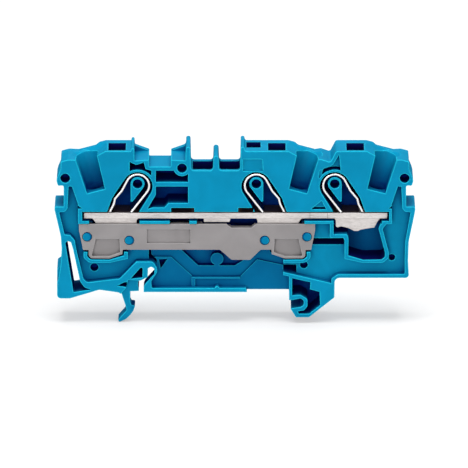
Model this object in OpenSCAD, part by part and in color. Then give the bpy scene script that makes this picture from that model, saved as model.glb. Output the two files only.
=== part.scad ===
// Feed-through terminal block for a 35 mm rail: three spring clamps on one current bar, in a
// moulded housing that is open on its front side. Z = 0 is the top of the rail, X = 0 the middle
// of the rail, Y = 0 the middle of the block. Depths are measured back from the open front face.

/* [Block] */
// Width of the block along the rail
block_w = 7.5; // [6.8:0.1:9]
// Length of the block across the rail
body_len = 73.3; // [72.5:0.1:78]
// Middle of the rail to the left end of the block
rail_to_left = 33; // [32.6:0.1:34]
// Height of the clamp towers above the rail
tower_z = 32; // [31.6:0.1:34]
// How far the tall fins stand above the towers
fin_rise = 0.9; // [0.4:0.1:2]
// Height of the deck round the jumper slots
deck_z = 27.9; // [27.2:0.1:28.4]
// Height of the floor of the marker channel
marker_z = 28.7; // [28.5:0.1:29.2]
// Width of the marker channel
marker_w = 4.45; // [4.2:0.05:4.8]

/* [Walls] */
// Thickness of the closed rear wall
rear_wall = 1.2; // [0.8:0.1:1.8]
// Thickness of the outer walls and lips
wall_t = 0.75; // [0.6:0.05:1]
// Depth of the shallow floor behind the front face
floor_depth = 1.8; // [1.7:0.05:2.1]
// Depth of the track below the conductor insert
track_depth = 2.3; // [2.2:0.1:3]
// Radius of the end plate peg holes
peg_hole_r = 1; // [0.8:0.05:1.1]
// Depth of the end plate peg holes
peg_hole_depth = 3.5; // [2:0.1:5]

/* [Clamps] */
// Left clamp spring, as a share of the block's length from its left end
left_clamp_at = 0.2306; // [0.228:0.0005:0.233]
// Middle clamp spring, as a share of the block's length from its left end
middle_clamp_at = 0.5593; // [0.558:0.0005:0.563]
// Right clamp spring, as a share of the block's length from its left end
right_clamp_at = 0.7763; // [0.774:0.0005:0.78]
// Height of the spring loop above the current bar
loop_rise = 5.95; // [5.85:0.05:6.2]
// Radius of the spring loop at the middle of the strip
loop_r = 2.35; // [2.2:0.05:2.5]
// Thickness of the spring strip
strip_t = 0.45; // [0.3:0.05:0.6]
// Free space round the spring loop
loop_play = 0.48; // [0.4:0.02:0.6]
// Wall between the spring boss and its peg hole
boss_wall = 0.4; // [0.3:0.05:0.5]
// Tilt of the conductor funnels from upright
funnel_tilt = 14.9; // [13:0.1:16]
// Radius of the funnel at its mouth
funnel_mouth_r = 2.25; // [2.1:0.05:2.4]
// Radius of the funnel at its floor
funnel_floor_r = 1.95; // [1.8:0.05:2.1]
// Radius of the hole for the bare conductor
conductor_r = 1.6; // [1.3:0.05:1.8]

/* [Current bar] */
// Height of the top of the bar above the rail
bar_z = 18.55; // [18.3:0.05:18.8]
// Thickness of the bar
bar_t = 1.2; // [1:0.05:1.4]
// Depth of the front edge of the bar behind the front face
bar_set = 0.9; // [0.85:0.05:1.1]
// Gap between the bar and the lips that carry it
bar_play = 0.3; // [0.2:0.05:0.4]
// Thickness of the folded collar walls
collar_t = 0.5; // [0.3:0.05:0.7]

/* [Conductor insert] */
// Thickness of the insert plate
insert_t = 1.6; // [1.3:0.05:1.75]
// Radius of the housing pegs that hold the insert
peg_r = 0.9; // [0.7:0.05:1]
// Gap round each peg
peg_play = 0.12; // [0.05:0.01:0.2]

/* [Rail foot] */
// Width of the rail over its flanges
rail_w = 35; // [34.8:0.1:35.4]
// Thickness of the rail flange
rail_t = 1; // [0.9:0.05:1.2]
// Gap between the foot and the edge of the flange
rail_play = 0.2; // [0.1:0.05:0.3]

/* [Hidden] */
$fn = 48;
over = 1;                                   // how far a cut runs past a face
front_y = -block_w / 2;
deep = block_w - rear_wall;                 // depth of the cavities for metal and conductors
xl = -rail_to_left;
xr = xl + body_len;
hr = rail_w / 2;
lip_z = tower_z - 1.8;                      // outer lips of the funnels
loop_z = bar_z + loop_rise;
cavity_r = loop_r + strip_t / 2 + loop_play;
boss_r = peg_hole_r + boss_wall;
bar_bottom = bar_z - bar_t;
lip_top = bar_bottom - bar_play;            // lips that carry the bar
bay_top = lip_top - 0.55;                   // upper edge of the bay below the bar
bar_slot_top = bar_z + 0.55;
left_clamp_x = xl + left_clamp_at * body_len;
middle_clamp_x = xl + middle_clamp_at * body_len;
right_clamp_x = xl + right_clamp_at * body_len;
clamp_x = [left_clamp_x, middle_clamp_x, right_clamp_x];
clamp_side = [-1, 1, 1];                    // the left clamp is mirrored
clamp_run = middle_clamp_x - left_clamp_x;  // holds the marker channel and the jumper slots
fin_x = [for (share = [0.4274, 0.6606, 0.8838]) left_clamp_x + share * clamp_run];
marker_x = left_clamp_x + 0.1888 * clamp_run;
mouth_reach = 0.73 * (xr - right_clamp_x);  // outer end of a funnel mouth, from its clamp
strip_set = 0.5;                            // front edge of the spring strip behind the face
strip_rear_gap = 0.7;
tongue_margin = 0.3;                        // spring tongue inside its bar window
window_margin = 0.7;                        // bar left in front of and behind a window
bar_rear_gap = 0.25;
insert_set = floor_depth - insert_t;
shade_gap = 0.15;                           // gap between the insert and the lips round it

// Helpers for outlines: points are [x, z] or [x, z, corner radius]
function unit(v) = v / norm(v);
function flat(p) = [p[0], p[1]];
function wrap(a) = a > 180 ? a - 360 : a < -180 ? a + 360 : a;
function arc(c, r, from, to, n = 12) =
    [for (i = [0:n]) c + r * [cos(from + (to - from) * i / n), sin(from + (to - from) * i / n)]];
function corner(a, b, c, r) =
    let (u = unit(a - b), v = unit(c - b), half = acos(max(-0.9999, min(0.9999, u * v))) / 2,
        reach = min(r / tan(half), 0.45 * min(norm(a - b), norm(c - b))),
        fit = reach * tan(half), m = b + unit(u + v) * fit / sin(half),
        p = b + u * reach - m, q = b + v * reach - m,
        start = atan2(p[1], p[0]), turn = wrap(atan2(q[1], q[0]) - start))
    arc(m, fit, start, start + turn, max(1, ceil(abs(turn) / 22.5)));
function rounded(pts) = let (n = len(pts)) [for (i = [0:n - 1])
    each (len(pts[i]) > 2
        ? corner(flat(pts[(i + n - 1) % n]), flat(pts[i]), flat(pts[(i + 1) % n]), pts[i][2])
        : [pts[i]])];
function side_normal(a, b) = let (d = unit(b - a)) [-d[1], d[0]];
function miter(path, i) = let (last = len(path) - 1,
        n0 = side_normal(path[max(i - 1, 0)], path[max(i, 1)]),
        n1 = side_normal(path[min(i, last - 1)], path[min(i + 1, last)]))
    (n0 + n1) / (1 + n0 * n1);
function ribbon(path, t) = concat(
    [for (i = [0:len(path) - 1]) path[i] + miter(path, i) * t / 2],
    [for (i = [len(path) - 1:-1:0]) path[i] - miter(path, i) * t / 2]);

// A flat shape in X and Z made solid between two depths
module slab(from, to)
    translate([0, front_y + to, 0]) rotate([90, 0, 0]) linear_extrude(to - from) children();
module cut(depth) slab(-over, depth) children();
module shape(pts) polygon(rounded(pts));
module disc(x, z, r) translate([x, z]) circle(r);
module box(x0, x1, d0, d1, z0, z1) translate([x0, front_y + d0, z0]) cube([x1 - x0, d1 - d0, z1 - z0]);
module peg(x, z, r, d0, d1)
    translate([x, front_y + d1, z]) rotate([90, 0, 0]) cylinder(r = r, h = d1 - d0);
module at_clamp(i) translate([clamp_x[i], 0, 0]) mirror([clamp_side[i] < 0 ? 1 : 0, 0, 0]) children();

// End of the block: wing with its peg hole, notch and tab, as distances in from the end
end_z = 19.6;
notch_floor = end_z + 0.55;
notch_h = 4.55;
notch_top = notch_floor + notch_h;
function end_edge() = [[0, end_z, 0.4], [0.1, notch_floor, 0.2], [1.9, notch_floor, 0.2],
    [1.9, notch_top, 0.3],
    [0.75, notch_top - 0.05, 0.35], [0.45, notch_top + 1, 0.8], [0.7, lip_z - 3.6, 0.8],
    [1.3, lip_z - 2.2, 1.5],
    [1.35, lip_z - 0.45, 0.3], [2.9, lip_z, 1]];
hole_in = 2.23;
hole_z = notch_top + 1.55;

// Edge of the funnel mouth, as distances out from the clamp spring
function mouth_edge() = [[6.5, tower_z, 0.6], [7.8, tower_z - 0.35, 0.5], [8.5, tower_z - 0.95, 0.5],
    [mouth_reach, tower_z - 1.9, 0.6]];
function from_clamp(i, pts) = in_from(clamp_x[i], -clamp_side[i], pts);
function reversed(pts) = [for (i = [len(pts) - 1:-1:0]) pts[i]];
function in_from(x, side, pts) = [for (p = pts) [x - side * p[0], p[1], len(p) > 2 ? p[2] : 0.05]];

function fin(x, half, top, base_l, base_r) = [[x - half - 0.12, base_l, 0.6],
    [x - half, top, half * 0.9],
    [x + half, top, half * 0.9], [x + half + 0.12, base_r, 0.6]];

marker_l = marker_x - marker_w / 2;
marker_r = marker_x + marker_w / 2;
lug_z = marker_z + 1.45;
marker_skin = 0.8;                          // floor of the marker channel
fin_z = tower_z + fin_rise;
low_fin_x = left_clamp_x - 0.97;

function top_edge() = concat(
    in_from(xl, -1, end_edge()),
    reversed(from_clamp(0, mouth_edge())),
    [[low_fin_x - 0.35, tower_z, 0.05], [low_fin_x - 0.28, tower_z + 0.6, 0.2],
        [low_fin_x + 0.28, tower_z + 0.6, 0.2], [low_fin_x + 0.4, lug_z + 1.1, 0.05]],
    [[marker_l, lug_z, 0.1], [marker_l, marker_z, 0.15], [marker_r, marker_z, 0.15],
    [marker_r, lug_z, 0.1]],
    fin(fin_x[0], 0.42, fin_z, lug_z + 1.1, deck_z),
    fin(fin_x[1], 0.5, tower_z - 1, deck_z, deck_z),
    fin(fin_x[2], 0.36, fin_z, deck_z, tower_z),
    from_clamp(1, mouth_edge()),
    [[right_clamp_x - 2.8, lip_z + 0.1, 0.6], [right_clamp_x - 1.2, lip_z - 0.45, 0.3],
        [right_clamp_x - 0.8, lip_z - 0.35, 0.3], [right_clamp_x + 0.25, tower_z, 0.6]],
    from_clamp(2, mouth_edge()),
    reversed(in_from(xr, 1, end_edge())));

// Right rail foot: a rigid claw round the flange
claw_x = hr + 6.45;
claw_z = -rail_t - 2.6;
function right_edge() = [[xr - 0.2, 18.4, 0.5], [xr - 1.3, 12.75, 3], [xr - 1.4, 8.7, 2],
    [xr - 1.2, 4.9, 0.7], [claw_x + 0.02, 4.9, 1], [claw_x, 0.7, 0.4], [hr + 1.25, claw_z, 0.4],
    [hr - 1.4, claw_z, 0.3], [hr - 2.5, -rail_t - 0.75, 0.1], [hr - 0.45, -rail_t - 0.4, 0.5],
    [hr + rail_play, -rail_t, 0.5], [hr + rail_play, 0, 0.5], [hr - 0.4, 0.5, 0.5], [hr - 2.2, 0.12],
    [hr - 2.8, 0.12, 0.05], [hr - 2.8, 1.85, 0.05]];

// Left rail foot: a springy hook on a bent arm, with a handle at the outer end
hook_x = -hr - rail_play;
function left_edge() = [[hook_x + 2.9, 1.85], [hook_x, 1.7, 0.1], [hook_x, -rail_t + 0.2, 0.3],
    [hook_x + 0.25, -rail_t - 0.3, 0.1], [hook_x + 1, -rail_t - 0.4, 0.15],
    [hook_x + 0.6, -rail_t - 1.55, 1],
    [hook_x, -rail_t - 2.4, 1], [hook_x - 0.85, -rail_t - 3.25, 1],
    [hook_x - 2.25, -rail_t - 3.95, 0.25],
    [hook_x - 2.5, -rail_t - 3.5, 0.15], [hook_x - 0.75, -rail_t - 1.4, 0.3],
    [hook_x - 0.85, -rail_t - 0.8, 0.5],
    [hook_x - 1.35, -0.15, 1], [hook_x - 1.75, 1.2, 0.5], [hook_x - 2.3, 1.75, 0.5],
    [xl + 9, 2.34, 0.5],
    [xl + 3, 0.47, 0.6], [xl + 0.4, 0.47, 0.8], [xl + 0.42, 6.5, 0.25], [xl + 1.1, 7, 0.12],
    [xl + 1.3, 8.7, 1],
    [xl + 1.4, 11.3, 1], [xl + 1.25, 13.8, 2]];

module outline() shape(concat(top_edge(), right_edge(), left_edge()));

// Slits that go right through and leave the hook arm springy
module slits() {
    shape([[xl + 2.15, 12.3, 0.3], [xl + 2.45, 12.85, 0.4], [xl + 3.3, 12.6, 0.4], [xl + 3.75, 10.9],
        [xl + 5.1, 4.16, 1.2], [xl + 6, 2.8, 1.2], [xl + 7.4, 2.4], [xl + 3.75, 1.76, 0.2]]);
    shape([[hook_x + 1.75, -over], [hook_x + 1.75, 2.5], [hook_x + 1.6, 2.8, 0.2],
        [hook_x + 1.6, 3.8, 0.3],
        [hook_x + 2.2, 4.35, 0.2], [hook_x + 3.6, 5.1, 0.2], [hook_x + 3.6, 6.9, 0.3],
        [hook_x + 4.3, 7.35, 0.4],
        [hook_x + 4.98, 6.8, 0.3], [hook_x + 4.95, 5.7, 0.3], [hook_x + 3.1, 3.6, 0.4],
        [hook_x + 2.75, 2.9, 0.3],
        [hook_x + 2.75, -over]]);
}

// Behind a front rib the slit is wider, so that the hook arm has room
slit_rib = 3.2;
hook_set = 0.9;
hook_w = 3.4;                               // the hook itself is narrower than the block
module rear_slit() shape([[hook_x + 2.75, -over], [hook_x + 2.75, 3], [hook_x + 3.6, 5.1],
    [hook_x + 3.6, 6.9, 0.3],
    [hook_x + 4.3, 7.35, 0.4], [hook_x + 4.98, 6.8, 0.3], [hook_x + 5.1, -over]]);
module hook_face() shape([[hook_x - 0.4, 4.45], [hook_x + 2.4, 4.3], [hook_x + 2, -5],
    [hook_x - 4, -5], [hook_x - 3.2, 0.4],
    [hook_x - 1.9, 1.55], [hook_x - 0.95, 2.6, 0.2], [hook_x - 0.7, 3.2]]);

// Bay behind the front face, below and beside the clamps
module lower_bay() {
    arm = [[xl + 2, 14.2, 0.2], [xl + 3.1, 14.1, 0.6], [xl + 4.1, 12.9, 0.6], [xl + 4.4, 10.9],
        [xl + 5.8, 4.6, 0.9],
        [xl + 6.5, 3.9, 0.9], [hook_x - 2.1, 4.75, 0.3], [hook_x + 1.3, 8.4, 0.2],
        [hook_x + 4.6, 8.4, 0.9],
        [hook_x + 5.5, 7, 0.8], [hook_x + 5.5, 6.1, 0.5], [hook_x + 4.3, 4.2, 0.3],
        [hook_x + 4.4, 2.65, 0.3]];
    rim = [[5.9, 2.65], [6.3, 1], [hr - 2.8, 1], [hr - 2.8, 5.2], [hr - 4, 5.5], [hr - 4, 6.15],
        [claw_x - 0.65, 3.73], [claw_x - 0.65, 4.7, 0.5], [claw_x + 0.6, 4.9 + wall_t, 1],
        [xr - 1.3 - wall_t, 4.9 + wall_t, 0.3]];
    right = [[xr - 1.35 - wall_t, 8.7, 2], [xr - 1.25 - wall_t, 12.75, 3], [xr - 0.2 - wall_t, 19, 0.2],
        [xr - 2.1, 19.1, 0.5], [xr - 2.65, 19.8, 0.5], [xr - 2.9, notch_top - 0.2, 0.2],
        [xr - 3.6, notch_top - 0.2, 0.2], [xr - 4.8, 20.7, 0.5], [xr - 4.75, bay_top]];
    left = [[xl + 4.8, bay_top], [xl + 4.8, 20.7, 0.5], [xl + 3.6, notch_top - 0.2, 0.2],
        [xl + 2.9, notch_top - 0.2, 0.2], [xl + 2.65, 19.8, 0.5], [xl + 2.1, 19.1, 0.5],
        [xl + 0.2 + wall_t, 19, 0.2]];
    shape(concat(arm, rim, right, left));
}

// Conductor chamber under a clamp, and the lip round it, from the middle of the clamp
function chamber() = [[-0.2, lip_top], [-0.2, 14.25, 0.1], [2.55, 14.25, 0.3], [2.85, 13.3, 0.4],
    [2.8, 9.7],
    [5.8, 8.75, 0.5], [9.6, 8.8, 0.6], [10.3, 9.4, 0.5], [10.3, 10.3], [8.95, 15.5, 0.2], [9.6, lip_top]];
function chamber_lip() = [[-0.2 - wall_t, lip_top], [-0.2 - wall_t, 14.25 - wall_t, 0.1],
    [1.8, 14.25 - wall_t, 0.2], [2.8 - wall_t, 12.9, 0.3], [2.8 - wall_t, 9.75 - wall_t],
    [5.7, 8.9 - wall_t, 0.8], [9.9, 8.9 - wall_t, 1], [10.3 + wall_t, 9.2, 0.8], [10.3 + wall_t, 10.4],
    [9 + wall_t, 15.4, 0.3], [10.5, lip_top - 0.6], [11.3, lip_top - 0.6], [11.3, lip_top]];
module lip_below_insert(i) intersection() {
    at_clamp_flat(i) shape(chamber_lip());
    translate([xl, 0]) square([body_len, 10.45]);
}
module at_clamp_flat(i) translate([clamp_x[i], 0]) mirror([clamp_side[i] < 0 ? 1 : 0, 0]) children();

// Ribs and lips that stand up to the front face inside the bay
module bay_walls() {
    at_clamp_flat(2) shape(chamber_lip());
    disc(0, 2.65, 0.45);
}

// Low ribs on the floor of the bay
rib_set = 1.3;
module low_ribs() {
    translate([-5.2, 2]) square([0.75, 2.6]);
    translate([-5.2, 4.25]) square([9.9, 0.4]);
}

// Lips that carry the bar between the collars
module bar_lips() {
    for (span = [[xl + 4.8, xl + 7], [left_clamp_x + 0.4, left_clamp_x + 6.5],
        [fin_x[1] - 5.42, fin_x[1] - 3.92],
        [middle_clamp_x + 9.8, right_clamp_x - 0.2], [right_clamp_x + 9.6, xr - 4.7]])
        translate([span[0], bay_top - over]) square([span[1] - span[0], lip_top - bay_top + over]);
}

// Cavity of a clamp spring and the boss inside its loop
module spring_cavity() difference() {
    polygon(concat(arc([0, loop_z], cavity_r, 211, 40, 16),
        [[4.1, loop_z - 0.75], [5.2, loop_z - 2.5], [6.4, bar_z], [0, bar_z]]));
    polygon(spring_boss());
}
boss_up = 0.54;
function spring_boss() = concat(arc([0, loop_z + boss_up], boss_r, 218, 0, 12),
    arc([boss_r - 0.25, loop_z - 3], 0.25, 0, -142, 4));

// Hollows above the clamps and below the marker channel
ring_r = cavity_r + 0.5;
module left_hollow() difference() {
    shape([[left_clamp_x - 1.6, lug_z - 0.4], [left_clamp_x - 0.25, lug_z - 1.05, 0.5],
        [left_clamp_x + 1.3, lug_z - 0.5],
        [left_clamp_x + 1.6, marker_z - 0.5, 0.4], [left_clamp_x + 2.8, marker_z - marker_skin],
        [left_clamp_x + 2.8, loop_z + 1.8], [left_clamp_x - 1.6, loop_z + 1.8]]);
    disc(left_clamp_x, loop_z, ring_r);
}
module right_hollow() difference() {
    shape([[right_clamp_x + 0.86, tower_z - 0.7], [right_clamp_x + 1.3, loop_z + 2],
        [right_clamp_x - 2.4, loop_z + 1.6],
        [right_clamp_x - 2.6, loop_z + 2.8, 0.3], [right_clamp_x - 2.3, lip_z - 1.85, 0.3],
        [right_clamp_x - 0.9, lip_z - 1.35, 0.5], [right_clamp_x - 0.3, lip_z - 0.95, 0.3]]);
    disc(right_clamp_x, loop_z, ring_r);
}
marker_hole_x = marker_r + 2.25;
marker_hole_z = marker_z - 0.3;
module marker_hollows() difference() {
    x0 = left_clamp_x + 3.7;
    x1 = fin_x[0] - 0.05;
    union() {
        translate([x0, loop_z + 0.95]) square([x1 - x0, marker_z - marker_skin - loop_z - 0.95]);
        shape([[x0, loop_z], [x1, loop_z], [x1, bar_z + 2.4], [x1 - 4, bar_z + 2.4],
            [x1 - 4.8, bar_z + 1.45],
            [x0 - 0.7, bar_z + 1.45], [x0 - 1.7, bar_z + 1.12], [x0, loop_z - 1.75]]);
    }
    disc(marker_hole_x, marker_hole_z, peg_hole_r + 0.7);
}

// Pocket round the stop boss below the bar, a step behind the track
stop_pocket_depth = track_depth + 1.6;
module stop_pocket() difference() {
    shape([[-8.45, 11.4], [-3.85, 6.8, 0.2], [3.65, 6.8, 0.3], [5.4, 7.95], [5.4, 11.4]]);
    disc(0, 8.2, 1.3);
    translate([-0.5, 6.3]) square([1, 2]);
}

// Deep pockets of the lower part
module lower_pockets() {
    shape([[hook_x + 3.8, 11.2], [hook_x + 4.3, 11.2], [hook_x + 4.3, 9.2], [hook_x + 5.45, 8.4, 0.8],
        [hook_x + 5.45, 7.5], [hook_x + 4.6, 8.4, 0.8], [hook_x + 3.8, 8.45]]);
    shape([[hr - 4, 6.15], [hr - 4, 7.2], [hr - 1.3, 7.2], [hr - 1.3, 5.5]]);
    translate([middle_clamp_x + 11.2, 11.5]) square([right_clamp_x - middle_clamp_x - 9.2, 1.35]);
    shape([[hr - 2.2, 4.85], [hr + 1.55, 3.97, 0.1], [hr + 1.45, 2.45, 0.1], [hr + 3.4, 1.9, 0.1],
        [hr + 3.55, -1, 0.2], [hr + 1.3, claw_z + wall_t, 0.2], [hr - 0.8, claw_z + wall_t, 0.1],
        [hr - 1.05, -rail_t - 1.3, 0.1], [hr + 0.2, -rail_t - 1.15, 0.4],
        [hr + 0.2 + wall_t, -rail_t - 0.2, 0.5],
        [hr + 0.2 + wall_t, 0.3, 0.7], [hr - 0.5, 0.5 + wall_t, 0.6], [hr - 2.2, 1.1]]);
    shape([[hook_x + 0.1, 4.7], [hook_x + 2.2, 7.2, 0.3], [hook_x + 2.6, 6.9, 0.3],
        [hook_x + 2.5, 4.95, 0.1]]);
    shape([[hook_x - 2.7, 3.2], [hook_x - 1.2, 3.95], [hook_x - 0.6, 4.0], [hook_x - 0.75, 2.9, 0.2]]);
}

module deep_cavities() {
    difference() {
        translate([xl + 5.6, bay_top - 0.01]) square([body_len - 10.9, bar_slot_top - bay_top]);
        bar_lips();
    }
    for (i = [0:2]) at_clamp_flat(i) {
        spring_cavity();
        shape(chamber());
    }
    left_hollow();
    intersection() {
        right_hollow();
        disc(right_clamp_x, loop_z, ring_r + 0.45);
    }
    marker_hollows();
    lower_pockets();
    for (span = [[fin_x[0] - 3.5, fin_x[0] + 1.2], [fin_x[2] - 0.9, fin_x[2] + 2.2]])
        translate([span[0], bar_z]) square([span[1] - span[0], 1.38]);
    for (span = [[left_clamp_x + 6.6, fin_x[1] - 5.5], [fin_x[1] - 3.8, middle_clamp_x - 0.1]])
        translate([span[0], 14.4]) square([span[1] - span[0], bay_top - 14.4]);
}

// Track below the insert, a step behind the floor
module track() shape([[hook_x + 4.3, 8.85], [-9.35, 8.85], [-4.8, 4.5], [4.7, 4.6], [8.2, 8.3],
    [hr - 4, 7.1],
    [hr - 4, 11.6], [hook_x + 4.3, 11.6]]);

// Conductor funnel: an open trough with a round back, a flared mouth and a hole for the bare wire
funnel_depth = 3.6;
funnel_x = 8.45;
funnel_z = loop_z - 1.05;
funnel_l = (tower_z - funnel_z) / cos(funnel_tilt);
mouth_at = (tower_z - 1.7 - funnel_z) / cos(funnel_tilt);
throat_l = 1.8;                             // narrowing behind the ledge at the foot of the trough
bowl_x = 10.7;                              // bowl between the tower top and the mouth
bowl_r = 4.6;
bowl_h = 1.7;
bowl_lean = 1.55;
bowl_front = 2;
bowl_rear = 4.2;
module along_funnel()
    translate([funnel_x, front_y + funnel_depth, funnel_z]) rotate([0, funnel_tilt, 0]) children();
module funnel() {
    edge = 0.06;                            // keeps the trough walls just inside the round back
    along_funnel() {
        rotate([90, 0, 0]) linear_extrude(funnel_depth + over) polygon([[-funnel_floor_r + edge, 0],
            [funnel_floor_r - edge, 0], [funnel_mouth_r - edge, mouth_at],
            [funnel_mouth_r - edge, funnel_l],
            [-funnel_mouth_r + edge, funnel_l], [-funnel_mouth_r + edge, mouth_at]]);
        cylinder(r1 = funnel_floor_r, r2 = funnel_mouth_r, h = mouth_at);
        translate([0, 0, mouth_at]) cylinder(r1 = funnel_mouth_r, r2 = funnel_mouth_r + 2.9, h = 2.4);
        translate([0, 0, -throat_l]) cylinder(r1 = conductor_r, r2 = funnel_floor_r, h = throat_l);
        translate([0, 0, bar_z - funnel_z - 0.3])
            cylinder(r = conductor_r, h = funnel_z - bar_z + 0.3 - throat_l);
    }
    slab(bowl_front, bowl_rear) polygon([[bowl_x - bowl_r + bowl_h * bowl_lean + edge, tower_z - bowl_h],
        [bowl_x - bowl_r - 0.5 * bowl_lean + edge, tower_z + 0.5], [bowl_x, tower_z + 0.5],
        [bowl_x, tower_z - bowl_h]]);
    for (depth = [bowl_front, bowl_rear]) translate([bowl_x, front_y + depth, tower_z - bowl_h])
        cylinder(r1 = bowl_r - bowl_h * bowl_lean, r2 = bowl_r + 0.5 * bowl_lean, h = bowl_h + 0.5);
}

// Slots entered from above
module top_slots() {
    for (i = [0:2]) at_clamp(i) box(2.4, 5.9, 0.7, 5.4, loop_z - 0.9, tower_z + over);
    box(fin_x[2] + 0.8, fin_x[2] + 3.65, 2.5, 6, loop_z + 4, tower_z + over);
    for (x = [[fin_x[0] + 0.85, fin_x[1] - 0.65], [fin_x[1] + 0.7, fin_x[2] - 0.55]])
        box(x[0], x[1], 0.9, 6.1, bar_z, deck_z + over);
}

// Peg holes, with their blind depth
module peg_holes() {
    for (x = [xl + hole_in, xr - hole_in]) peg(x, hole_z, peg_hole_r, -over, peg_hole_depth);
    peg(marker_hole_x, marker_hole_z, peg_hole_r, -over, peg_hole_depth);
    for (i = [0:2]) peg(clamp_x[i], loop_z + boss_up, peg_hole_r, -over, peg_hole_depth);
}

// Places of the insert pegs, out from a clamp
function insert_pegs() = [[1.72, 12.9], [10.3, 13.65]];

module housing() color([0.05, 0.55, 0.74]) {
    difference() {
        slab(0, block_w) outline();
        cut(floor_depth) difference() {
            lower_bay();
            bay_walls();
            for (i = [0:1]) lip_below_insert(i);
        }
        cut(track_depth) track();
        cut(stop_pocket_depth) stop_pocket();
        cut(deep) deep_cavities();
        slab(-over, block_w + over) slits();
        slab(slit_rib, block_w + over) rear_slit();
        cut(hook_set) hook_face();
        slab(hook_set + hook_w, block_w + over)
            translate([hook_x - 4, -rail_t - 6]) square([6.9, rail_t + 6.8]);
        for (i = [0:2]) at_clamp(i) funnel();
        top_slots();
        peg_holes();
        cut(deep) lug_tops();
        small_recesses();
    }
    slab(rib_set, floor_depth + over) low_ribs();
    for (i = [0:1]) at_clamp(i) for (p = insert_pegs()) peg(p[0], p[1], peg_r, 0.1, floor_depth + over);
}

// Tops of the lugs beside the marker channel, cut down to the rear wall
module lug_tops() {
    polygon([[low_fin_x + 0.35, lug_z - 0.15], [marker_l + 0.01, lug_z - 0.02],
        [marker_l + 0.01, fin_z],
        [low_fin_x + 0.35, fin_z]]);
    polygon([[marker_r - 0.01, lug_z - 0.02], [fin_x[0] - 0.55, lug_z - 0.15], [fin_x[0] - 0.55, fin_z],
        [marker_r - 0.01, fin_z]]);
}

// Shallow steps, core holes and corner reliefs of the moulding
module small_recesses() {
    cut(0.3) shape([[fin_x[2] + 0.1, lip_z + 0.1], [fin_x[2] + 4, lip_z + 0.1, 0.3],
        [fin_x[2] + 4.1, loop_z + 3.3], [fin_x[2] + 0.1, loop_z + 3.3]]);
    cut(0.25) difference() {
        shape([[right_clamp_x - 3.3, loop_z + 1.75, 0.3], [right_clamp_x - 3.1, loop_z + 3.4, 0.3],
            [right_clamp_x - 2.2, loop_z + 3.6], [right_clamp_x - 2.2, loop_z + 1.75]]);
        disc(right_clamp_x, loop_z, ring_r);
    }
    cut(0.9) right_hollow();
    cut(0.3) shape([[right_clamp_x - 4.8, bar_z + 1.05], [right_clamp_x - 1.75, bar_z + 1.05],
        [right_clamp_x - 2.65, bar_z + 2.95, 0.2]]);
    cut(2) translate([right_clamp_x - 4.5, bar_z + 1.05]) square([2.6, 0.42]);
    cut(1) polygon([[xl - over, 7.6], [xl + 1.08, 7.6], [xl + 1.05, 6.9], [xl + 0.62, 4.2],
        [xl - over, 4.2]]);
    cut(3.5) shape([[xl + 4.7, 20.35], [xl + 4.9, 20.35], [xl + 5.65, 19.75], [xl + 4.7, 19.75]]);
    cut(3.5) shape([[xr - 4.7, 20.35], [xr - 4.8, 20.35], [xr - 5.45, 19.75], [xr - 4.7, 19.75]]);
    cut(4.2) shape([[hook_x + 5.85, 8.3], [hook_x + 7.65, 8.4], [hook_x + 6.2, 6.3]]);
    cut(4) disc(xl + 8, 6.6, 0.85);
    cut(4) disc(hr + 0.2, 7.15, 0.8);
    cut(4) disc(right_clamp_x + 11.7, 8.75, 0.7);
}

// Current bar: a stamped strip with a window and two folded collar walls at each clamp
bar_end = 0.38;
bar_rear = deep - bar_rear_gap;
bar_x0 = xl + 5.6 + bar_end;
bar_x1 = xr - 5.3 - bar_end;
window = [4.9, 8.5];
function collar() = [[0.02, bar_z - 0.4], [0.02, bar_bottom - 0.05], [0.25, bar_bottom - 0.45, 0.2],
    [0.25, 15.75], [0.5, 15.42, 0.2], [1.4, 15.66, 0.6], [2.8, 15.32, 0.6],
    [4, 14.68, 0.4], [4.8, 14.68, 0.3], [5.3, 14.97, 0.3], [6.7, 15.22, 0.6], [8.1, 15.42, 0.1],
    [8.8, bar_bottom - 0.55, 0.2], [9.2, bar_bottom - 0.05], [9.2, bar_z - 0.4]];
module current_bar() color([0.82, 0.81, 0.8]) {
    difference() {
        slab(bar_set, bar_rear) translate([bar_x0, bar_bottom]) square([bar_x1 - bar_x0, bar_t]);
        for (i = [0:2]) at_clamp(i)
            box(window[0], window[1], bar_set + window_margin, bar_rear - window_margin,
                bar_bottom - over, bar_z + over);
        for (x = [fin_x[1] - 2.6, fin_x[1] + 2.6])
            box(x - 1, x + 1, bar_set + window_margin, bar_rear - window_margin, bar_bottom - over,
                bar_z + over);
    }
    for (i = [0:2]) at_clamp(i) {
        slab(bar_set, bar_set + collar_t) shape(collar());
        slab(bar_rear - collar_t, bar_rear) shape(collar());
    }
    slab(bar_set, bar_set + collar_t) shape([[fin_x[1] - 2.5, bar_z - 0.4],
        [fin_x[1] - 2.5, bar_bottom - 0.75, 0.1],
        [fin_x[1] + 2.75, bar_bottom - 0.75, 0.2], [fin_x[1] + 3.15, bar_z - 0.4]]);
}

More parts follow.
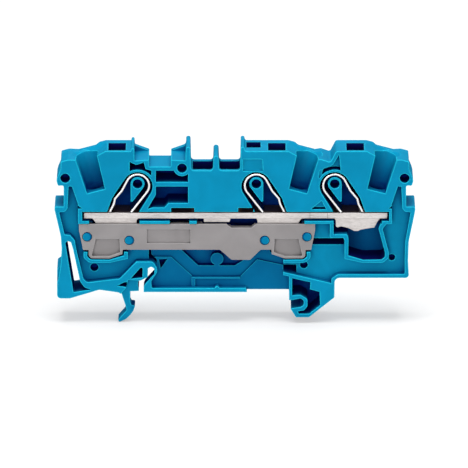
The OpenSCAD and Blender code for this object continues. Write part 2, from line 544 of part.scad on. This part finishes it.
// Clamp spring: a bent strip with an anchor leg, a loop and a clamping leg with a narrow tongue
anchor_turn = 217;
anchor_gap = 0.04;
function loop_point(a) = [loop_r * cos(a), loop_z + loop_r * sin(a)];
anchor_drop = loop_r * sin(anchor_turn) + loop_rise - anchor_gap - strip_t / 2 * cos(anchor_turn - 180);
anchor_l = anchor_drop / cos(anchor_turn - 180);
function spring_path() = concat(
    [loop_point(anchor_turn) + anchor_l * [-sin(anchor_turn), cos(anchor_turn)]],
    arc([0, loop_z], loop_r, anchor_turn, 27, 18),
    [[3.19, loop_z - 1.08], [4.6, loop_z - 2.8], [4.87, loop_z - 4], [5.48, bar_z + 0.75],
    [6.25, bar_bottom - 0.1]]);
module clamp_spring(i) at_clamp(i) difference() {
    slab(strip_set, deep - strip_rear_gap) polygon(ribbon(spring_path(), strip_t));
    box(4, 9, -over, bar_set + window_margin + tongue_margin, bar_bottom - over, bar_z + 0.3);
    box(4, 9, bar_rear - window_margin - tongue_margin, block_w, bar_bottom - over, bar_z + 0.3);
}
module clamp_spring_left() color([0.9, 0.9, 0.91]) clamp_spring(0);
module clamp_spring_middle() color([0.9, 0.9, 0.91]) clamp_spring(1);
module clamp_spring_right() color([0.9, 0.9, 0.91]) clamp_spring(2);

// Conductor insert: a grey plate on the housing's pegs, with a hollow boss in two of the chambers
insert_top = bay_top - shade_gap;
function insert_end() = [[3.1, 10.9], [3.15, 9.95], [5.8, 9, 0.4], [9.55, 9.05, 0.5],
    [10, 9.6, 0.3],
    [10, 10.8], [11.15, 10.85, 0.2], [11.95, 15.1, 0.3], [11.95, insert_top]];
function insert_outline() = concat(
    [[fin_x[1] + 2.1, insert_top], [fin_x[1] + 3.1, insert_top - 0.8],
    [fin_x[1] + 7.2, insert_top - 0.8],
        [fin_x[1] + 8.1, insert_top]],
    reversed(from_clamp(1, insert_end())),
    [[middle_clamp_x + 0.9, 10.9], [middle_clamp_x - 1.25, 8.73, 0.3], [middle_clamp_x - 5, 8.73, 0.3],
        [middle_clamp_x - 7.4, 10.9]],
    from_clamp(0, insert_end()));
function boss_window() = [[8.55, 13.2], [3.75, 13.2], [3.6, 10.3], [5.8, 9.5], [9.4, 9.5, 0.2]];
module conductor_insert() color([0.62, 0.6, 0.6]) difference() {
    union() {
        slab(insert_set, floor_depth) shape(insert_outline());
        for (i = [0:1]) at_clamp(i) slab(floor_depth - 0.2, floor_depth + 1.6)
            shape([[3.3, 13], [3.3, 10.05], [5.85, 9.15, 0.3], [9.4, 9.2, 0.3], [9.65, 9.8], [8.9, 13]]);
    }
    for (i = [0:1]) at_clamp(i) {
        for (p = insert_pegs()) peg(p[0], p[1], peg_r + peg_play, -over, floor_depth + over);
        slab(-over, insert_set + 0.9) shape(boss_window());
        box(-0.2, 9.4, bar_set - 0.2, floor_depth + over, 14.4, insert_top + over);
    }
    box(fin_x[1] - 2.8, fin_x[1] + 3, bar_set - 0.2, floor_depth + over, insert_top - 0.6,
        insert_top + over);
    slab(-over, insert_set + 0.5) translate([left_clamp_x + 1.85, 12.25]) square([8.85, 3]);
}

housing();
current_bar();
clamp_spring_left();
clamp_spring_middle();
clamp_spring_right();
conductor_insert();
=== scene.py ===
import math

import bpy
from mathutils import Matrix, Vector


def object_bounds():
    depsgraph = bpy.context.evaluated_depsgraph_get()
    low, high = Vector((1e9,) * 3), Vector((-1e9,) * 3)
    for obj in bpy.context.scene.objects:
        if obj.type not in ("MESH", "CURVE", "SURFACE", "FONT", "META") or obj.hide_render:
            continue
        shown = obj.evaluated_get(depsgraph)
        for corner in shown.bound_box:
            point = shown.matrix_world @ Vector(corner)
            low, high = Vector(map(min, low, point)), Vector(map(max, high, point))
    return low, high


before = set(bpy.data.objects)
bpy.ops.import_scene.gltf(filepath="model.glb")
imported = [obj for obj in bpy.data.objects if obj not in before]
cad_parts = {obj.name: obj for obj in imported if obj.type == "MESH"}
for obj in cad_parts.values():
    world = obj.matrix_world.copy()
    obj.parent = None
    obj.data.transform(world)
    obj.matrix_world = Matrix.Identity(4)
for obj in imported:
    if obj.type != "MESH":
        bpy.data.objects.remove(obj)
cad_box = [list(corner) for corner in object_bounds()]

# Camera: a long lens far off, as for a catalogue picture. It looks straight at the open side of the
# block, and down by a little under nineteen degrees.
scene = bpy.context.scene
aim = Vector((0.003465, 0.0, 0.01307))
look_down = math.radians(18.6)
stand_off = 1.5
seen_width = 0.09539
film_width = 36.0
bpy.ops.object.select_all(action="DESELECT")
bpy.ops.object.camera_add(
    location=aim + stand_off * Vector((0.0, -math.cos(look_down), math.sin(look_down))),
    rotation=(math.pi / 2 - look_down, 0.0, 0.0),
)
camera = bpy.context.object
camera.name = "catalogue_camera"
camera.data.sensor_width = film_width
camera.data.lens = film_width * stand_off / seen_width
scene.camera = camera

# Housing: one block of blue polyamide with clamp towers, funnels, cavities and a snap-on foot. It is
# injection moulded in one shot, so its edges are slightly rounded and its faces carry the fine spark
# grain of the tool. Pale highlights are painted on its edges, and shade is painted in its deep
# cavities.
housing_face = (0.0025, 0.259, 0.458, 1.0)
# painted highlight on the rounded edges
housing_edge_highlight = (0.014, 0.55, 0.75, 1.0)
# painted shade in the deep cavities
housing_hollow_shade = (0.0006, 0.011, 0.150, 1.0)
# painted shade in the narrow shafts
housing_shaft_shade = (0.0030, 0.0065, 0.085, 1.0)
housing_edge_amount = 1.0
housing_edge_radius = 0.00042
housing_roughness = 0.5
housing_gloss = 0.045


def dress(node, material):
    """Gives a CAD node its material through its object's slots."""
    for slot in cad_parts[node].material_slots:
        slot.link = "OBJECT"
        slot.material = material


def put(tree, kind, **settings):
    """Adds a shader node with its settings."""
    made = tree.nodes.new(kind)
    for key, value in settings.items():
        setattr(made, key, value)
    return made


def start_group(name, inputs, outputs):
    """An empty node group with named inputs (label, value) and outputs (label, kind)."""
    tree = bpy.data.node_groups.new(name, "ShaderNodeTree")
    for label, value in inputs:
        socket = tree.interface.new_socket(label, in_out="INPUT", socket_type="NodeSocketFloat")
        socket.default_value = value
    for label, kind in outputs:
        tree.interface.new_socket(label, in_out="OUTPUT", socket_type=kind)
    return tree, tree.nodes.new("NodeGroupInput"), tree.nodes.new("NodeGroupOutput")


def ramp_to(tree, value, low, high, to_low=0.0, to_high=1.0):
    """Spreads a value softly between two limits and returns the result."""
    spread = put(tree, "ShaderNodeMapRange", interpolation_type="SMOOTHSTEP")
    spread.inputs["From Min"].default_value = low
    spread.inputs["From Max"].default_value = high
    spread.inputs["To Min"].default_value = to_low
    spread.inputs["To Max"].default_value = to_high
    tree.links.new(value, spread.inputs["Value"])
    return spread.outputs["Result"]


def math_of(tree, operation, first, second=0.0):
    """One step of arithmetic on two values, each a socket or a number."""
    made = put(tree, "ShaderNodeMath", operation=operation)
    for place, value in enumerate((first, second)):
        if isinstance(value, (int, float)):
            made.inputs[place].default_value = value
        else:
            tree.links.new(value, made.inputs[place])
    return made.outputs["Value"]


def mix_colour(tree, amount, first, second):
    """Mixes two colours, each a socket or four numbers, by an amount that is a socket."""
    made = put(tree, "ShaderNodeMix", data_type="RGBA")
    tree.links.new(amount, made.inputs[0])
    # the colour inputs of a mix node are its sockets 6 and 7, and its colour output is number 2
    for socket, colour in ((made.inputs[6], first), (made.inputs[7], second)):
        if isinstance(colour, tuple):
            socket.default_value = colour
        else:
            tree.links.new(colour, socket)
    return made.outputs[2]


# the rounded edges: a normal that turns round each edge, and a mask of the outer edges that
# paints highlights on the plastics and shade on the spring rims
edge_group, edge_in, edge_out = start_group(
    "rounded_edges",
    [("Radius", 0.0002)],
    [("Edge", "NodeSocketFloat"), ("Normal", "NodeSocketVector")],
)
edge_turn = put(edge_group, "ShaderNodeBevel", samples=8)
edge_group.links.new(edge_in.outputs["Radius"], edge_turn.inputs["Radius"])
edge_face = put(edge_group, "ShaderNodeNewGeometry")
edge_dot = put(edge_group, "ShaderNodeVectorMath", operation="DOT_PRODUCT")
edge_group.links.new(edge_turn.outputs["Normal"], edge_dot.inputs[0])
edge_group.links.new(edge_face.outputs["True Normal"], edge_dot.inputs[1])
edge_open = put(edge_group, "ShaderNodeAmbientOcclusion", samples=8, only_local=True)
edge_open.inputs["Distance"].default_value = 0.0006
edge_turned = ramp_to(edge_group, edge_dot.outputs["Value"], 0.992, 0.90)
edge_outer = ramp_to(edge_group, edge_open.outputs["AO"], 0.6, 0.9)
edge_mask = math_of(edge_group, "MULTIPLY", edge_turned, edge_outer)
edge_group.links.new(edge_mask, edge_out.inputs["Edge"])
edge_group.links.new(edge_turn.outputs["Normal"], edge_out.inputs["Normal"])

# the hollow mask: 0 deep inside a cavity, 1 on open faces; the plastics paint shade into their
# colour by it
hollow_group, hollow_in, hollow_out = start_group(
    "hollow_shade",
    [("Reach", 0.004), ("Dark", 0.25), ("Open", 0.75)],
    [("Open", "NodeSocketFloat")],
)
hollow_seen = put(hollow_group, "ShaderNodeAmbientOcclusion", samples=16)
hollow_group.links.new(hollow_in.outputs["Reach"], hollow_seen.inputs["Distance"])
hollow_spread = put(hollow_group, "ShaderNodeMapRange")
hollow_group.links.new(hollow_seen.outputs["AO"], hollow_spread.inputs["Value"])
hollow_group.links.new(hollow_in.outputs["Dark"], hollow_spread.inputs["From Min"])
hollow_group.links.new(hollow_in.outputs["Open"], hollow_spread.inputs["From Max"])
hollow_group.links.new(hollow_spread.outputs["Result"], hollow_out.inputs["Open"])

# the moulded grain: spark texture of the tool as height, slow flow clouds as tone
grain_group, grain_in, grain_out = start_group(
    "moulded_grain",
    [("Grain", 9000.0), ("Cloud", 160.0)],
    [("Height", "NodeSocketFloat"), ("Tone", "NodeSocketFloat")],
)
grain_place = put(grain_group, "ShaderNodeTexCoord")
grain_spark = put(grain_group, "ShaderNodeTexNoise")
grain_spark.inputs["Detail"].default_value = 3.0
grain_spark.inputs["Roughness"].default_value = 0.6
grain_cloud = put(grain_group, "ShaderNodeTexNoise")
grain_cloud.inputs["Detail"].default_value = 4.0
grain_cloud.inputs["Distortion"].default_value = 0.6
for texture, size, result in ((grain_spark, "Grain", "Height"), (grain_cloud, "Cloud", "Tone")):
    grain_group.links.new(grain_place.outputs["Object"], texture.inputs["Vector"])
    grain_group.links.new(grain_in.outputs[size], texture.inputs["Scale"])
    grain_group.links.new(texture.outputs["Fac"], grain_out.inputs[result])


def add_bump(tree, shader, height, edges, strength):
    """Gives a shader its rounded edges with a fine relief on them."""
    bump = put(tree, "ShaderNodeBump")
    bump.inputs["Strength"].default_value = strength
    bump.inputs["Distance"].default_value = 0.00002
    tree.links.new(height, bump.inputs["Height"])
    tree.links.new(edges.outputs["Normal"], bump.inputs["Normal"])
    tree.links.new(bump.outputs["Normal"], shader.inputs["Normal"])


def moulded_plastic(name, face, pale, deep, edge_amount, edge_radius, roughness):
    """A moulded plastic: cloudy colour, painted pale edge highlights, painted hollow shade, spark
    grain.

    Returns the material, its shader, its hollow mask and the node that mixes its painted hollow
    shade into its colour.
    """
    cloud_tone = 0.87
    grain_roughness = 0.16
    grain_strength = 0.25
    plastic = bpy.data.materials.new(name)
    plastic.use_nodes = True
    tree = plastic.node_tree
    shader = tree.nodes["Principled BSDF"]
    edges = put(tree, "ShaderNodeGroup", node_tree=edge_group)
    edges.inputs["Radius"].default_value = edge_radius
    hollows = put(tree, "ShaderNodeGroup", node_tree=hollow_group)
    grain = put(tree, "ShaderNodeGroup", node_tree=grain_group)
    shade = tuple(cloud_tone * part for part in face[:3]) + (1.0,)
    cloudy = mix_colour(tree, ramp_to(tree, grain.outputs["Tone"], 0.3, 0.7), shade, face)
    rim = math_of(tree, "MULTIPLY", edges.outputs["Edge"], edge_amount)
    edge_highlighted = mix_colour(tree, rim, cloudy, pale)
    shaded = mix_colour(tree, hollows.outputs["Open"], deep, edge_highlighted)
    tree.links.new(shaded, shader.inputs["Base Color"])
    rough = math_of(tree, "MULTIPLY_ADD", grain.outputs["Height"], grain_roughness)
    rough.node.inputs[2].default_value = roughness - grain_roughness / 2
    tree.links.new(rough, shader.inputs["Roughness"])
    add_bump(tree, shader, grain.outputs["Height"], edges, grain_strength)
    return plastic, shader, hollows, shaded.node


housing_plastic, housing_shader, housing_hollows, housing_mix = moulded_plastic(
    "blue_polyamide",
    housing_face,
    housing_edge_highlight,
    housing_hollow_shade,
    housing_edge_amount,
    housing_edge_radius,
    housing_roughness,
)
housing_shader.inputs["Specular IOR Level"].default_value = 0.0
housing_shader.inputs["Coat Roughness"].default_value = 0.35
housing_hollows.inputs["Reach"].default_value = 0.0090
housing_hollows.inputs["Dark"].default_value = 0.12
housing_hollows.inputs["Open"].default_value = 0.66
housing_tree = housing_plastic.node_tree


def split_place(tree):
    """The place of a shaded point on its node, whole and as X, Y and Z."""
    place = put(tree, "ShaderNodeTexCoord").outputs["Object"]
    parts = put(tree, "ShaderNodeSeparateXYZ")
    tree.links.new(place, parts.inputs["Vector"])
    return place, parts.outputs


def split_facing(tree):
    """The way a face looks, as X, Y and Z."""
    facing = put(tree, "ShaderNodeNewGeometry")
    parts = put(tree, "ShaderNodeSeparateXYZ")
    tree.links.new(facing.outputs["True Normal"], parts.inputs["Vector"])
    return parts.outputs


housing_place, housing_at = split_place(housing_tree)
housing_turn = split_facing(housing_tree)


def inside_box(spans, border):
    """A mask of a box of the housing, from its middle and half size in X, Y and Z."""
    inside = 1.0
    for axis, (middle, half) in zip("XYZ", spans):
        away = math_of(housing_tree, "SUBTRACT", housing_at[axis], middle)
        away = math_of(housing_tree, "ABSOLUTE", away)
        within = ramp_to(housing_tree, away, half + border, half - border)
        inside = math_of(housing_tree, "MULTIPLY", within, inside)
    return inside


# painted shade on recesses that keep less light: box, soft border, share of the colour that is kept
foot_y = (-0.00020, 0.00260)
foot_z = (0.00400, 0.00650)
# the share of face colour kept under painted shade and light starts from the hollow mask
housing_painted_light = housing_hollows.outputs["Open"]
for spans, border, kept in (
    # the floors below the insert, at the hook and between the feet
    (((-0.0205, 0.0065), foot_y, foot_z), 0.0008, 0.80),
    (((0.0004, 0.0144), foot_y, foot_z), 0.0008, 0.52),
    # the hook, painted darker as shade under the block
    (((-0.0120, 0.0055), (0.0, 0.00500), (-0.00350, 0.00300)), 0.0008, 0.72),
    # the shallow triangle beside the right clamp
    (((0.02075, 0.00170), (-0.00300, 0.00060), (0.02050, 0.00120)), 0.0001, 0.75),
):
    painted_shade_kept = ramp_to(housing_tree, inside_box(spans, border), 0.0, 1.0, 1.0, kept)
    housing_painted_light = math_of(housing_tree, "MULTIPLY", housing_painted_light, painted_shade_kept)

# painted light: the slanted funnels are open above, so their backs are painted lighter
funnel_upright = 0.9664
funnel_lean = 0.2571
funnel_mouth_z = 0.0303
funnel_half = (0.0029, 0.0024)
funnel_bottom = (0.0232, 0.0242)
funnel_gain = 1.5
for mouth_x, lean in ((-0.02635, -funnel_lean), (0.01825, funnel_lean), (0.03415, funnel_lean)):
    across = put(housing_tree, "ShaderNodeVectorMath", operation="DOT_PRODUCT")
    across.inputs[1].default_value = (funnel_upright, 0.0, -lean)
    housing_tree.links.new(housing_place, across.inputs[0])
    axis_at = funnel_upright * mouth_x - lean * funnel_mouth_z
    off_axis = math_of(housing_tree, "SUBTRACT", across.outputs["Value"], axis_at)
    off_axis = math_of(housing_tree, "ABSOLUTE", off_axis)
    in_width = ramp_to(housing_tree, off_axis, *funnel_half)
    in_height = ramp_to(housing_tree, housing_at["Z"], *funnel_bottom)
    in_funnel = math_of(housing_tree, "MULTIPLY", in_width, in_height)
    funnel_painted_light = ramp_to(housing_tree, in_funnel, 0.0, 1.0, 1.0, funnel_gain)
    housing_painted_light = math_of(housing_tree, "MULTIPLY", housing_painted_light, funnel_painted_light)
housing_painted_light = math_of(housing_tree, "MINIMUM", housing_painted_light, 1.0)

# painted shade on the heads of the pegs that hold the insert, as in the shade of its holes, darkest
# at their rims
peg_half = 0.00100
peg_y = (-0.00285, 0.00086)
peg_rim = (0.00066, 0.00084)
peg_kept = (0.74, 0.10)
peg_outer_x, peg_inner_x = (-0.02650, 0.01840), (-0.01792, 0.00982)
peg_flat = put(housing_tree, "ShaderNodeVectorMath", operation="MULTIPLY")
peg_flat.inputs[1].default_value = (1.0, 0.0, 1.0)
housing_tree.links.new(housing_place, peg_flat.inputs[0])
for peg_z, peg_row in ((0.01365, peg_outer_x), (0.01290, peg_inner_x)):
    for peg_x in peg_row:
        peg_head = inside_box(((peg_x, peg_half), peg_y, (peg_z, peg_half)), 0.0001)
        peg_away = put(housing_tree, "ShaderNodeVectorMath", operation="DISTANCE")
        peg_away.inputs[1].default_value = (peg_x, 0.0, peg_z)
        housing_tree.links.new(peg_flat.outputs["Vector"], peg_away.inputs[0])
        peg_painted_light = ramp_to(housing_tree, peg_away.outputs["Value"], *peg_rim, *peg_kept)
        peg_loss = math_of(housing_tree, "SUBTRACT", 1.0, peg_painted_light)
        peg_loss = math_of(housing_tree, "MULTIPLY", peg_head, peg_loss)
        peg_left = math_of(housing_tree, "SUBTRACT", 1.0, peg_loss)
        housing_painted_light = math_of(housing_tree, "MULTIPLY", housing_painted_light, peg_left)
housing_tree.links.new(housing_painted_light, housing_mix.inputs[0])
housing_coat = math_of(housing_tree, "MULTIPLY", housing_painted_light, housing_gloss)
housing_tree.links.new(housing_coat, housing_shader.inputs["Coat Weight"])

# painted shade: narrow shafts that are entered from above, and the upward faces of the right
# chamber's floor, are painted nearly black
chamber_floor = ((0.03060, 0.00410), (0.00020, 0.00370), (0.00930, 0.00080))
lever_half_x, lever_y, lever_z = 0.00179, (-0.00070, 0.00239), (0.02780, 0.00424)
jumper_half_x, jumper_y, jumper_z = 0.00212, (-0.00025, 0.00263), (0.02390, 0.00402)
test_shaft = ((0.007422, 0.00147), (0.00050, 0.00179), (0.03025, 0.00179))
shafts = [((x, lever_half_x), lever_y, lever_z) for x in (-0.020247, 0.012147, 0.028053)]
shafts += [((x, jumper_half_x), jumper_y, jumper_z) for x in (-0.00289, 0.00258)]
shafts.append(test_shaft)
looks_up = ramp_to(housing_tree, housing_turn["Z"], 0.5, 0.8)
housing_painted_black = math_of(housing_tree, "MULTIPLY", inside_box(chamber_floor, 0.0002), looks_up)
for shaft in shafts:
    housing_painted_black = math_of(housing_tree, "MAXIMUM", housing_painted_black, inside_box(shaft, 0.00002))
housing_colour = mix_colour(housing_tree, housing_painted_black, housing_mix.outputs[2], housing_shaft_shade)
housing_tree.links.new(housing_colour, housing_shader.inputs["Base Color"])
dress("housing", housing_plastic)

# Current bar: a strip of copper with a window and two folded collar walls under each clamp. It is
# stamped, folded and then tin-plated, so its face is pale and faintly streaked. Its top faces behind
# the front edge and its faces in hollows are painted dark copper as shade, and two shear marks cross
# it.
bar_tin = (0.64, 0.605, 0.59, 1.0)
bar_dull = (0.50, 0.47, 0.455, 1.0)
bar_stain_and_shade = (0.075, 0.046, 0.036, 1.0)
bar_marks = (0.0189, 0.0225)
bar_fold = 0.01735
bar_patch_amount = 0.16
bar_collar_amount = 0.10
bar_crease_shade = 0.20
bar_mark_amount = 0.55
bar_metal = bpy.data.materials.new("tin_plate")
bar_metal.use_nodes = True
tree = bar_metal.node_tree
bar_shader = tree.nodes["Principled BSDF"]
bar_place, bar_at = split_place(tree)
bar_turn = split_facing(tree)
bar_along = put(tree, "ShaderNodeMapping")
bar_along.inputs["Scale"].default_value = (0.16, 1.0, 1.0)
tree.links.new(bar_place, bar_along.inputs["Vector"])
bar_streak = put(tree, "ShaderNodeTexNoise")
bar_streak.inputs["Scale"].default_value = 9000.0
bar_streak.inputs["Detail"].default_value = 4.0
bar_streak.inputs["Roughness"].default_value = 0.65
tree.links.new(bar_along.outputs["Vector"], bar_streak.inputs["Vector"])
bar_patch = put(tree, "ShaderNodeTexNoise")
bar_patch.inputs["Scale"].default_value = 1500.0
bar_patch.inputs["Detail"].default_value = 3.0
tree.links.new(bar_along.outputs["Vector"], bar_patch.inputs["Vector"])
bar_edges = put(tree, "ShaderNodeGroup", node_tree=edge_group)
bar_edges.inputs["Radius"].default_value = 0.00012
bar_hollows = put(tree, "ShaderNodeGroup", node_tree=hollow_group)
bar_hollows.inputs["Reach"].default_value = 0.0020
bar_hollows.inputs["Dark"].default_value = 0.15
bar_hollows.inputs["Open"].default_value = 0.7
bar_shine = ramp_to(tree, bar_streak.outputs["Fac"], 0.32, 0.58)
bar_colour = mix_colour(tree, bar_shine, bar_dull, bar_tin)
# dull patches, the duller collars below the fold, painted shade in the fold's crease and the shear
# marks
bar_below = math_of(tree, "SUBTRACT", bar_at["Z"], bar_fold)
bar_off_fold = math_of(tree, "ABSOLUTE", bar_below)
bar_stains = [
    ramp_to(tree, bar_patch.outputs["Fac"], 0.42, 0.66, 0.0, bar_patch_amount),
    ramp_to(tree, bar_below, 0.00003, -0.00006, 0.0, bar_collar_amount),
    ramp_to(tree, bar_off_fold, 0.00012, 0.00002, 0.0, bar_crease_shade),
]
for mark in bar_marks:
    away = math_of(tree, "ABSOLUTE", math_of(tree, "SUBTRACT", bar_at["X"], mark))
    bar_stains.append(ramp_to(tree, away, 0.00008, 0.00003, 0.0, bar_mark_amount))
for stain in bar_stains:
    bar_colour = mix_colour(tree, stain, bar_colour, bar_stain_and_shade)
# painted shade: the bar's faces in hollows are darkened
bar_colour = mix_colour(tree, bar_hollows.outputs["Open"], bar_stain_and_shade, bar_colour)
# painted shade: its top faces behind the front edge are darkened
bar_top = ramp_to(tree, bar_turn["Z"], 0.4, 0.8)
bar_inner = ramp_to(tree, bar_at["Y"], -0.0028, -0.0022)
bar_top_shade = math_of(tree, "MULTIPLY", bar_top, bar_inner)
bar_colour = mix_colour(tree, bar_top_shade, bar_colour, bar_stain_and_shade)
tree.links.new(bar_colour, bar_shader.inputs["Base Color"])
bar_rough = ramp_to(tree, bar_streak.outputs["Fac"], 0.3, 0.7, 0.52, 0.38)
tree.links.new(bar_rough, bar_shader.inputs["Roughness"])
bar_shader.inputs["Metallic"].default_value = 0.35
add_bump(tree, bar_shader, bar_streak.outputs["Fac"], bar_edges, 0.15)
dress("current_bar", bar_metal)

# Clamp springs: three strips of rolled spring steel, bent to a loop that sits round a boss of the
# housing, with one leg on the bar and the other reaching down through the bar's window. The rolled
# faces and the rims of the slit edges are painted dark as shade and dark reflection, and the slit
# edges are bright.
spring_bright = (0.80, 0.80, 0.805, 1.0)
spring_drawn = (0.66, 0.66, 0.67, 1.0)
spring_painted_shade = (0.055, 0.055, 0.060, 1.0)
spring_rim_kept = 0.1
spring_steel = bpy.data.materials.new("rolled_spring_steel")
spring_steel.use_nodes = True
tree = spring_steel.node_tree
spring_shader = tree.nodes["Principled BSDF"]
spring_place = put(tree, "ShaderNodeTexCoord")
spring_turn = split_facing(tree)
spring_along = put(tree, "ShaderNodeMapping")
spring_along.inputs["Scale"].default_value = (1.0, 0.06, 1.0)
tree.links.new(spring_place.outputs["Object"], spring_along.inputs["Vector"])
spring_lines = put(tree, "ShaderNodeTexNoise")
spring_lines.inputs["Scale"].default_value = 9000.0
spring_lines.inputs["Detail"].default_value = 3.0
tree.links.new(spring_along.outputs["Vector"], spring_lines.inputs["Vector"])
spring_edges = put(tree, "ShaderNodeGroup", node_tree=edge_group)
spring_edges.inputs["Radius"].default_value = 0.00024
spring_shine = ramp_to(tree, spring_lines.outputs["Fac"], 0.25, 0.55)
spring_edge = mix_colour(tree, spring_shine, spring_drawn, spring_bright)
# painted shade: the rolled faces and the rims of the slit edges are darkened
spring_sideways = math_of(tree, "ABSOLUTE", spring_turn["Y"])
spring_slit = ramp_to(tree, spring_sideways, 0.5, 0.85)
spring_rim_shade = ramp_to(tree, spring_edges.outputs["Edge"], 0.0, 1.0, 1.0, spring_rim_kept)
spring_slit = math_of(tree, "MULTIPLY", spring_slit, spring_rim_shade)
spring_colour = mix_colour(tree, spring_slit, spring_painted_shade, spring_edge)
tree.links.new(spring_colour, spring_shader.inputs["Base Color"])
spring_rough = ramp_to(tree, spring_lines.outputs["Fac"], 0.2, 0.8, 0.34, 0.2)
tree.links.new(spring_rough, spring_shader.inputs["Roughness"])
spring_shader.inputs["Metallic"].default_value = 1.0
add_bump(tree, spring_shader, spring_lines.outputs["Fac"], spring_edges, 0.12)
for side in ("left", "middle", "right"):
    dress(f"clamp_spring_{side}", spring_steel)

# Conductor insert: a grey polyamide plate with two hollow bosses, pushed on four pegs of the
# housing below the bar. It is moulded like the housing, with the same grain and sharper edges.
insert_face = (0.288, 0.273, 0.276, 1.0)
# painted highlight on its rounded edges
insert_edge_highlight = (0.46, 0.445, 0.445, 1.0)
# painted shade in its hollows
insert_hollow_shade = (0.045, 0.042, 0.044, 1.0)
insert_edge_amount = 0.8
insert_edge_radius = 0.00022
insert_roughness = 0.52
insert_plastic, insert_shader, insert_hollows, _ = moulded_plastic(
    "grey_polyamide",
    insert_face,
    insert_edge_highlight,
    insert_hollow_shade,
    insert_edge_amount,
    insert_edge_radius,
    insert_roughness,
)
insert_shader.inputs["Specular IOR Level"].default_value = 0.12
insert_hollows.inputs["Reach"].default_value = 0.0020
insert_hollows.inputs["Dark"].default_value = 0.15
insert_hollows.inputs["Open"].default_value = 0.6
dress("conductor_insert", insert_plastic)

# Studio: a wide matt floor of pale card under the block, a long low lamp in front of it, one above
# it and weaker ones at the sides and behind, all soft, and a pale room all round.
floor_size = 6.0
floor_z = cad_box[0][2] - 0.00002
card_light = 0.40
room_light = 0.40
room_seen_light = 1.0
bpy.ops.object.select_all(action="DESELECT")
bpy.ops.mesh.primitive_plane_add(size=floor_size, location=(0.0, 0.0, floor_z))
floor = bpy.context.object
floor.name = "studio_floor"
bpy.ops.object.transform_apply(location=True, rotation=False, scale=False)
floor_card = bpy.data.materials.new("pale_card")
floor_card.use_nodes = True
tree = floor_card.node_tree
card = tree.nodes["Principled BSDF"]
card.inputs["Base Color"].default_value = (0.50, 0.50, 0.50, 1.0)
card.inputs["Roughness"].default_value = 0.9
card.inputs["Specular IOR Level"].default_value = 0.1
card_rays = put(tree, "ShaderNodeLightPath").outputs
card_seen = math_of(tree, "MAXIMUM", card_rays["Is Camera Ray"], card_rays["Is Glossy Ray"])
card_glow = put(tree, "ShaderNodeEmission")
tree.links.new(math_of(tree, "MULTIPLY", card_seen, card_light), card_glow.inputs["Strength"])
card_sum = put(tree, "ShaderNodeAddShader")
tree.links.new(card.outputs["BSDF"], card_sum.inputs[0])
tree.links.new(card_glow.outputs["Emission"], card_sum.inputs[1])
tree.links.new(card_sum.outputs["Shader"], tree.nodes["Material Output"].inputs["Surface"])
floor.data.materials.append(floor_card)

room = bpy.data.worlds.new("pale_room")
scene.world = room
room.use_nodes = True
tree = room.node_tree
room_rays = put(tree, "ShaderNodeLightPath").outputs
room_seen = math_of(tree, "MAXIMUM", room_rays["Is Camera Ray"], room_rays["Is Glossy Ray"])
room_seen = math_of(tree, "MAXIMUM", room_seen, room_rays["Is Transmission Ray"])
room_strength = ramp_to(tree, room_seen, 0.0, 1.0, room_light, room_seen_light)
tree.links.new(room_strength, tree.nodes["Background"].inputs["Strength"])
tree.nodes["Background"].inputs["Color"].default_value = (1.0, 1.0, 1.0, 1.0)

# the lamps: name, place, size and power
for lamp_name, lamp_at, lamp_size, lamp_power in (
    ("lamp_front", (-0.1, -1.0, 0.15), (0.9, 0.25), 4.9),
    ("lamp_above", (0.0, -0.1, 0.95), (0.6, 0.5), 7.5),
    ("lamp_left", (-0.8, -0.25, 0.35), (0.5, 0.5), 1.5),
    ("lamp_right", (0.8, -0.35, 0.3), (0.5, 0.5), 1.3),
    ("lamp_behind", (0.2, 0.9, 0.5), (0.8, 0.4), 2.4),
):
    bpy.ops.object.light_add(type="AREA", location=lamp_at)
    lamp = bpy.context.object
    lamp.name = lamp_name
    lamp.rotation_euler = (aim - Vector(lamp_at)).to_track_quat("-Z", "Y").to_euler()
    lamp.data.shape = "RECTANGLE"
    lamp.data.size, lamp.data.size_y = lamp_size
    lamp.data.energy = lamp_power

scene.view_settings.view_transform = "Standard"
